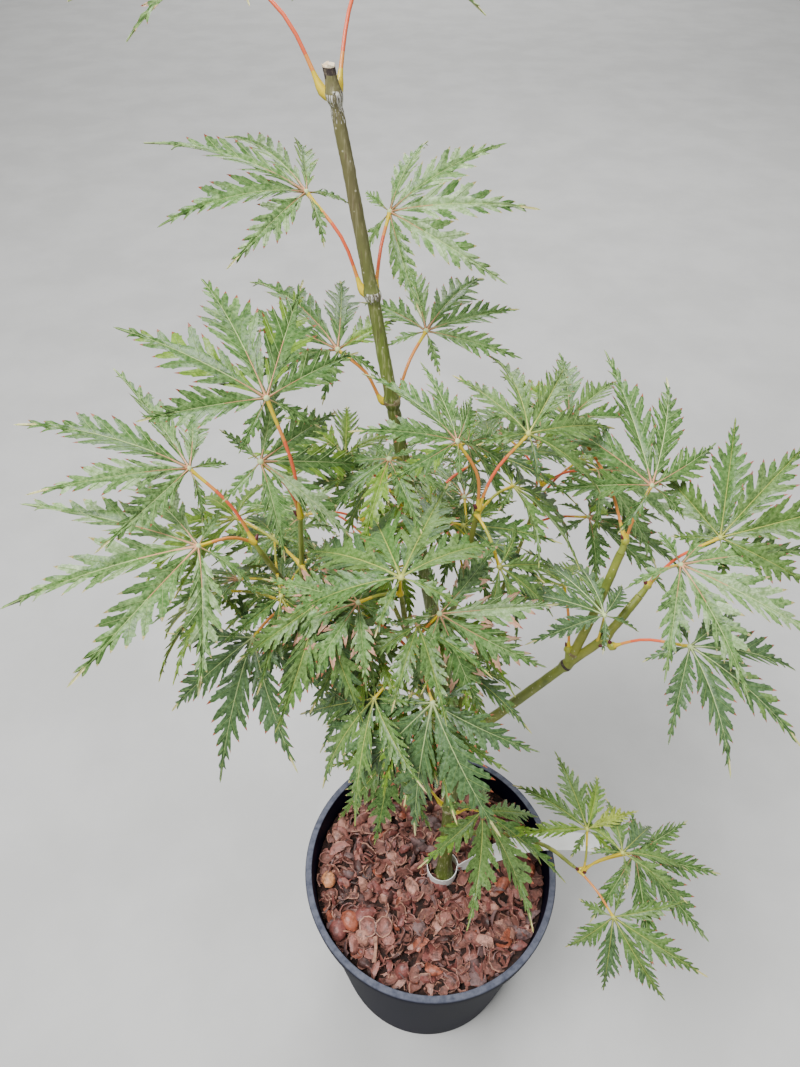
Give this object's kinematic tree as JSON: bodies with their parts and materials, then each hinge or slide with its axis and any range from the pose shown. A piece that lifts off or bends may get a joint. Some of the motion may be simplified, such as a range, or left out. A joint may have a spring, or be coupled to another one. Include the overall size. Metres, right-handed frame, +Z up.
{
  "type": "potted japanese maple",
  "caption": "Young potted maple: a leaning trunk, slender boughs and deeply cut leaves on long stalks, in a round black pot with husk mulch.",
  "frame": {"origin": "centre of the pot's flat underside, on the surface that the pot stands on", "axes": "+Z up along the pot's axis, -Y towards the side that the picture is taken from, +X to its right"},
  "size_m": [0.386, 0.327, 0.7136],
  "materials": {
    "pot": "black nursery-pot plastic, satin, with a paler scuffed rim",
    "mulch": "dry reddish-brown husk pieces",
    "label": "bare white plastic strap",
    "bark": "smooth olive-green young bark with fine pale streaks",
    "foliage": "soft green deeply cut leaves with pale ribs"
  },
  "bodies": {
    "root": {"pot": "pot", "mulch": "mulch", "label": "label", "trunk": "bark", "bough_right": "bark", "bough_right_side": "bark", "bough_left": "bark", "bough_centre": "bark", "bough_front": "bark", "bough_upper_right": "bark", "bough_low_right": "bark", "bough_back_left": "bark", "bough_back_right": "bark", "leaves_leader_top": "foliage", "leaves_leader_upper": "foliage", "leaves_leader_lower": "foliage", "leaves_leader_foot": "foliage", "leaves_left_tip": "foliage", "leaves_left_low": "foliage", "leaves_left_upper": "foliage", "leaves_centre": "foliage", "leaves_centre_upper": "foliage", "leaves_front": "foliage", "leaves_right_inner": "foliage", "leaves_right_fork": "foliage", "leaves_right_upper": "foliage", "leaves_right_outer": "foliage", "leaves_low_right": "foliage", "leaves_low_front": "foliage", "leaves_back_left": "foliage", "leaves_back_right": "foliage"}
  },
  "joints": []
}
